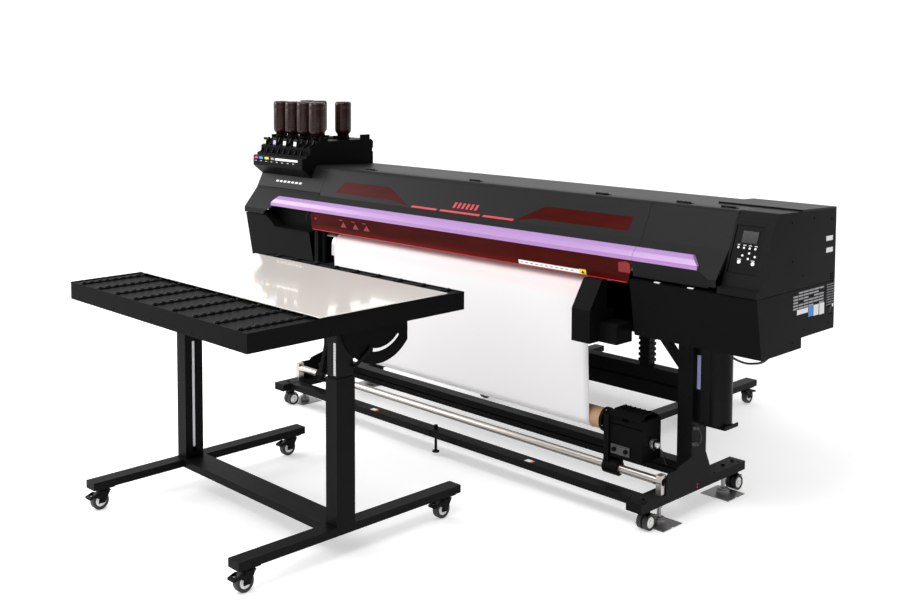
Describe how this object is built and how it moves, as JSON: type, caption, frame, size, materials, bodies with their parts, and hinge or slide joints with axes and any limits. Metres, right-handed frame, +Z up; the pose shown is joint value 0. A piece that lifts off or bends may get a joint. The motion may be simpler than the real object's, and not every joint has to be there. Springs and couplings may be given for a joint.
{
  "type": "wide-format roll printer and cutter with two roller tables",
  "caption": "Wide-format roll-to-roll printer and cutter on a wheeled stand, with inverted ink bottles, a take-up unit and free-standing roller tables.",
  "frame": {"origin": "middle of the overall box in X and Y, on the floor", "axes": "+X along the machine towards its right end as seen by the operator, +Y from the operator towards the back, +Z up"},
  "size_m": [2.9885, 3.247, 1.53],
  "materials": {
    "painted_dark": "textured satin powder coat",
    "painted_black": "fine textured powder coat",
    "cover_charcoal": "fine-grained moulded cover",
    "cover_black": "fine-grained moulded cover",
    "stripe_violet": "pearl gloss",
    "window_red": "tinted clear",
    "plastic_black": "moulded",
    "panel_dark": "membrane",
    "bare_aluminium": "anodised",
    "black_anodised": "black anodised",
    "label_print": "printed label film",
    "red_print": "gloss print",
    "polished_steel": "polished",
    "zinc_steel": "zinc plated",
    "rubber_black": "moulded",
    "tread_grey": "smooth tread",
    "hub_white": "moulded",
    "media_paper": "printed satin",
    "core_card": "spiral wound",
    "bottle_dark": "blown, dark brown",
    "board_white": "gloss laminate",
    "tank_black": "moulded"
  },
  "bodies": {
    "printer": {"stand_legs": "painted_black", "stand_beams": "painted_dark", "take_up_rail": "polished_steel", "levelling_feet": "zinc_steel", "stand_caster_forks": "plastic_black", "chassis": "painted_dark", "platen": "bare_aluminium", "carriage_rail": "bare_aluminium", "left_upper_cover": "cover_charcoal", "left_lower_cover": "cover_black", "right_lower_cover": "cover_black", "stripe_left": "stripe_violet", "top_rear_cover": "cover_charcoal", "right_end_cover": "cover_charcoal", "operation_panel": "panel_dark", "ink_station": "cover_black", "guard_boxes": "cover_black", "media_sheet": "media_paper", "take_up_motor": "cover_black", "cables": "rubber_black"},
    "front_lid": {"front_cover": "cover_charcoal", "cover_windows": "window_red", "stripe_main": "stripe_violet"},
    "park_lid": {"right_cover": "cover_charcoal", "stripe_right": "stripe_violet"},
    "carriage": {"print_carriage": "painted_dark"},
    "cutter": {"cutter_carriage": "painted_dark"},
    "blade": {"cutter_holder": "zinc_steel"},
    "feed": {"feed_roller": "rubber_black"},
    "pinch_lift": {"pinch_arms": "zinc_steel"},
    "pinch_turn": {"pinch_rollers": "rubber_black"},
    "roll_core": {"take_up_core": "core_card", "core_plugs": "plastic_black"},
    "core_carrier": {"take_up_holder": "painted_dark"},
    "switch": {"power_switch": "plastic_black"},
    "tank": {"waste_tank": "tank_black"},
    "bottles": {"ink_bottles": "bottle_dark"},
    "stand_wheels_a": {"stand_wheels_front": "rubber_black"},
    "stand_wheels_b": {"stand_wheels_rear": "rubber_black"},
    "table": {"table_base": "painted_black"},
    "table_lift": {"table_columns": "black_anodised"},
    "table_tilt": {"table_top": "black_anodised", "table_rollers": "rubber_black", "table_board": "board_white"},
    "levers": {"clamp_levers": "plastic_black"},
    "rear_table": {"rear_table_base": "painted_black"},
    "rear_lift": {"rear_table_columns": "black_anodised"},
    "rear_tilt": {"rear_table_top": "black_anodised", "rear_table_rollers": "rubber_black"},
    "rear_levers": {"rear_clamp_levers": "plastic_black"},
    "rear_wheels_a": {"rear_table_wheels_front": "tread_grey"},
    "rear_wheels_b": {"rear_table_wheels_rear": "tread_grey"},
    "fork_front_left": {"caster_fork_front_left": "plastic_black"},
    "wheel_front_left": {"caster_wheel_front_left": "tread_grey"},
    "fork_front_right": {"caster_fork_front_right": "plastic_black"},
    "wheel_front_right": {"caster_wheel_front_right": "tread_grey"},
    "fork_rear_left": {"caster_fork_rear_left": "plastic_black"},
    "wheel_rear_left": {"caster_wheel_rear_left": "tread_grey"},
    "fork_rear_right": {"caster_fork_rear_right": "plastic_black"},
    "wheel_rear_right": {"caster_wheel_rear_right": "tread_grey"}
  },
  "joints": [
    {"name": "front_cover_hinge", "type": "hinge", "parent": "printer", "child": "front_lid", "pos_m": [0, 0.0435, 1.2135], "axis": [1, 0, 0], "range_deg": [-70, 0]},
    {"name": "right_cover_hinge", "type": "hinge", "parent": "printer", "child": "park_lid", "pos_m": [1.155, 0.0435, 1.2135], "axis": [1, 0, 0], "range_deg": [-70, 0]},
    {"name": "print_carriage_slide", "type": "slide", "parent": "printer", "child": "carriage", "axis": [1, 0, 0], "range_m": [-1.78, 0]},
    {"name": "cutter_carriage_slide", "type": "slide", "parent": "printer", "child": "cutter", "axis": [1, 0, 0], "range_m": [0, 1.8]},
    {"name": "cutter_blade_slide", "type": "slide", "parent": "cutter", "child": "blade", "axis": [0, 0, 1], "range_m": [-0.009, 0], "stiffness_N_per_m": 250, "springref_m": 0.03},
    {"name": "feed_roller_spin", "type": "hinge", "parent": "printer", "child": "feed", "pos_m": [0, 0.2035, 0.8904], "axis": [1, 0, 0], "continuous": true},
    {"name": "pinch_lift", "type": "hinge", "parent": "printer", "child": "pinch_lift", "pos_m": [0, 0.2935, 0.95], "axis": [1, 0, 0], "range_deg": [-12, 0]},
    {"name": "pinch_roller_spin", "type": "hinge", "parent": "pinch_lift", "child": "pinch_turn", "pos_m": [0, 0.2035, 0.9157], "axis": [1, 0, 0], "continuous": true},
    {"name": "take_up_core_spin", "type": "hinge", "parent": "printer", "child": "roll_core", "pos_m": [0, -0.0465, 0.332], "axis": [1, 0, 0], "continuous": true},
    {"name": "take_up_holder_slide", "type": "slide", "parent": "printer", "child": "core_carrier", "axis": [1, 0, 0], "range_m": [-0.12, 0]},
    {"name": "power_switch_rock", "type": "hinge", "parent": "printer", "child": "switch", "pos_m": [1.488, 0.3925, 0.8175], "axis": [0, 1, 0], "range_deg": [0, 10]},
    {"name": "waste_tank_slide", "type": "slide", "parent": "printer", "child": "tank", "axis": [0, 1, 0], "range_m": [-0.15, 0]},
    {"name": "ink_bottles_lift", "type": "slide", "parent": "printer", "child": "bottles", "axis": [0, 0, 1], "range_m": [0, 0.12]},
    {"name": "stand_wheels_front_spin", "type": "hinge", "parent": "printer", "child": "stand_wheels_a", "pos_m": [0, -0.1635, 0.031], "axis": [1, 0, 0], "continuous": true},
    {"name": "stand_wheels_rear_spin", "type": "hinge", "parent": "printer", "child": "stand_wheels_b", "pos_m": [0, 0.4505, 0.031], "axis": [1, 0, 0], "continuous": true},
    {"name": "front_table_roll", "type": "slide", "parent": "printer", "child": "table", "axis": [0, 1, 0], "range_m": [-0.6, 0.25]},
    {"name": "front_table_height", "type": "slide", "parent": "table", "child": "table_lift", "axis": [0, 0, 1], "range_m": [-0.05, 0.1]},
    {"name": "front_table_tilt", "type": "hinge", "parent": "table_lift", "child": "table_tilt", "pos_m": [0, -0.9965, 0.85], "axis": [1, 0, 0], "range_deg": [-60, 0]},
    {"name": "front_clamp_turn", "type": "hinge", "parent": "table_lift", "child": "levers", "pos_m": [0, -1.0438, 0.72677], "axis": [1, 0, 0], "range_deg": [-60, 0]},
    {"name": "caster_swivel_front_left", "type": "hinge", "parent": "table", "child": "fork_front_left", "pos_m": [-0.48, -1.5535, 0.06], "axis": [0, 0, 1], "continuous": true},
    {"name": "caster_spin_front_left", "type": "hinge", "parent": "fork_front_left", "child": "wheel_front_left", "pos_m": [-0.48, -1.5715, 0.035], "axis": [1, 0, 0], "continuous": true},
    {"name": "caster_swivel_front_right", "type": "hinge", "parent": "table", "child": "fork_front_right", "pos_m": [0.48, -1.5535, 0.06], "axis": [0, 0, 1], "continuous": true},
    {"name": "caster_spin_front_right", "type": "hinge", "parent": "fork_front_right", "child": "wheel_front_right", "pos_m": [0.48, -1.5715, 0.035], "axis": [1, 0, 0], "continuous": true},
    {"name": "caster_swivel_rear_left", "type": "hinge", "parent": "table", "child": "fork_rear_left", "pos_m": [-0.48, -0.6295, 0.06], "axis": [0, 0, 1], "continuous": true},
    {"name": "caster_spin_rear_left", "type": "hinge", "parent": "fork_rear_left", "child": "wheel_rear_left", "pos_m": [-0.48, -0.6475, 0.035], "axis": [1, 0, 0], "continuous": true},
    {"name": "caster_swivel_rear_right", "type": "hinge", "parent": "table", "child": "fork_rear_right", "pos_m": [0.48, -0.6295, 0.06], "axis": [0, 0, 1], "continuous": true},
    {"name": "caster_spin_rear_right", "type": "hinge", "parent": "fork_rear_right", "child": "wheel_rear_right", "pos_m": [0.48, -0.6475, 0.035], "axis": [1, 0, 0], "continuous": true},
    {"name": "rear_table_roll", "type": "slide", "parent": "printer", "child": "rear_table", "axis": [0, 1, 0], "range_m": [-0.1, 0.6]},
    {"name": "rear_table_height", "type": "slide", "parent": "rear_table", "child": "rear_lift", "axis": [0, 0, 1], "range_m": [-0.05, 0.1]},
    {"name": "rear_table_tilt", "type": "hinge", "parent": "rear_lift", "child": "rear_tilt", "pos_m": [0, 0.9965, 0.85], "axis": [1, 0, 0], "range_deg": [0, 60]},
    {"name": "rear_clamp_turn", "type": "hinge", "parent": "rear_lift", "child": "rear_levers", "pos_m": [0, 1.0438, 0.72677], "axis": [1, 0, 0], "range_deg": [0, 60]},
    {"name": "rear_wheels_front_spin", "type": "hinge", "parent": "rear_table", "child": "rear_wheels_a", "pos_m": [0, 0.6475, 0.035], "axis": [1, 0, 0], "continuous": true},
    {"name": "rear_wheels_rear_spin", "type": "hinge", "parent": "rear_table", "child": "rear_wheels_b", "pos_m": [0, 1.5715, 0.035], "axis": [1, 0, 0], "continuous": true}
  ],
  "couplings": [
    {"joint": "pinch_roller_spin", "follows": "feed_roller_spin", "ratio": -1.6667}
  ]
}
